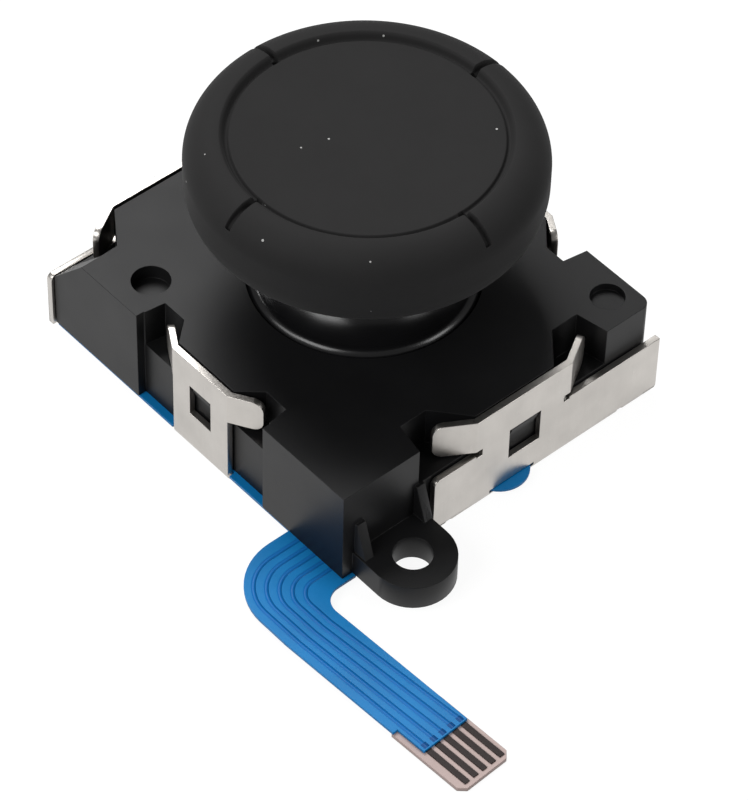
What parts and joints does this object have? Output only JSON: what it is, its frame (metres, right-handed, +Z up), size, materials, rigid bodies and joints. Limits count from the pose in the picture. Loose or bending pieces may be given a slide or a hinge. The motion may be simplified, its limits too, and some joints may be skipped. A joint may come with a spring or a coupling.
{
  "type": "controller analog stick",
  "caption": "Tilting and pressing thumb stick module with a round rubber cap, a flared dust skirt, a clipped steel frame, a screw ear and a flat flexible circuit tail.",
  "frame": {"origin": "on the stick's axis, on the underside of the steel base plate", "axes": "+Z up along the stick, +Y away from the screw ear, +X away from the flexible tail's side"},
  "size_m": [0.0213, 0.0303, 0.0133],
  "materials": {
    "cap_rubber": "soft matte rubber",
    "core_plastic": "plain moulded",
    "skirt_gloss": "polished black",
    "acetal": "natural acetal",
    "spring_steel": "bright spring steel",
    "contact_brass": "plated brass",
    "housing_plastic": "satin black moulding",
    "frame_steel": "satin stamped sheet",
    "flex_film": "blue cover film",
    "stiffener_board": "plain board",
    "carbon_ink": "printed carbon",
    "clear_tape": "amber film"
  },
  "bodies": {
    "base": {"housing": "housing_plastic", "steel_frame": "frame_steel", "flex_circuit": "flex_film", "tail_stiffener": "stiffener_board", "contact_fingers": "carbon_ink", "resistive_tracks": "carbon_ink", "switch_dome": "spring_steel", "dome_tape": "clear_tape"},
    "lower_rocker_body": {"lower_rocker": "acetal"},
    "collar_body": {"pivot_collar": "acetal", "return_spring": "spring_steel"},
    "stick": {"stick_stem": "acetal", "dust_skirt": "skirt_gloss", "cap_core": "core_plastic", "thumb_cap": "cap_rubber"},
    "upper_rocker_body": {"upper_rocker": "acetal"},
    "slide_y_body": {"slide_y": "core_plastic", "wiper_y": "contact_brass"},
    "slide_x_body": {"slide_x": "core_plastic", "wiper_x": "contact_brass"}
  },
  "joints": [
    {"name": "tilt_x", "type": "hinge", "parent": "base", "child": "lower_rocker_body", "pos_m": [0, 0, 0.00265], "axis": [1, 0, 0], "range_deg": [-16, 16], "stiffness_Nm_per_rad": 0.02},
    {"name": "tilt_y", "type": "hinge", "parent": "lower_rocker_body", "child": "collar_body", "pos_m": [0, 0, 0.00265], "axis": [0, 1, 0], "range_deg": [-16, 16], "stiffness_Nm_per_rad": 0.02},
    {"name": "press", "type": "slide", "parent": "collar_body", "child": "stick", "axis": [0, 0, -1], "range_m": [0, 0.0004], "stiffness_N_per_m": 1500, "springref_m": -0.0004, "deforming": ["return_spring"]},
    {"name": "upper_rocker_turn", "type": "hinge", "parent": "base", "child": "upper_rocker_body", "pos_m": [0, 0, 0.00265], "axis": [0, 1, 0], "range_deg": [-16.5, 16.5]},
    {"name": "slide_y_travel", "type": "slide", "parent": "base", "child": "slide_y_body", "axis": [0, 1, 0], "range_m": [-0.00048, 0.00048]},
    {"name": "slide_x_travel", "type": "slide", "parent": "base", "child": "slide_x_body", "axis": [1, 0, 0], "range_m": [-0.00048, 0.00048]}
  ],
  "couplings": [
    {"joint": "upper_rocker_turn", "follows": "tilt_y", "ratio": 1},
    {"joint": "slide_y_travel", "follows": "tilt_x", "m_per_rad": 0.00165},
    {"joint": "slide_x_travel", "follows": "tilt_y", "m_per_rad": -0.00165}
  ]
}
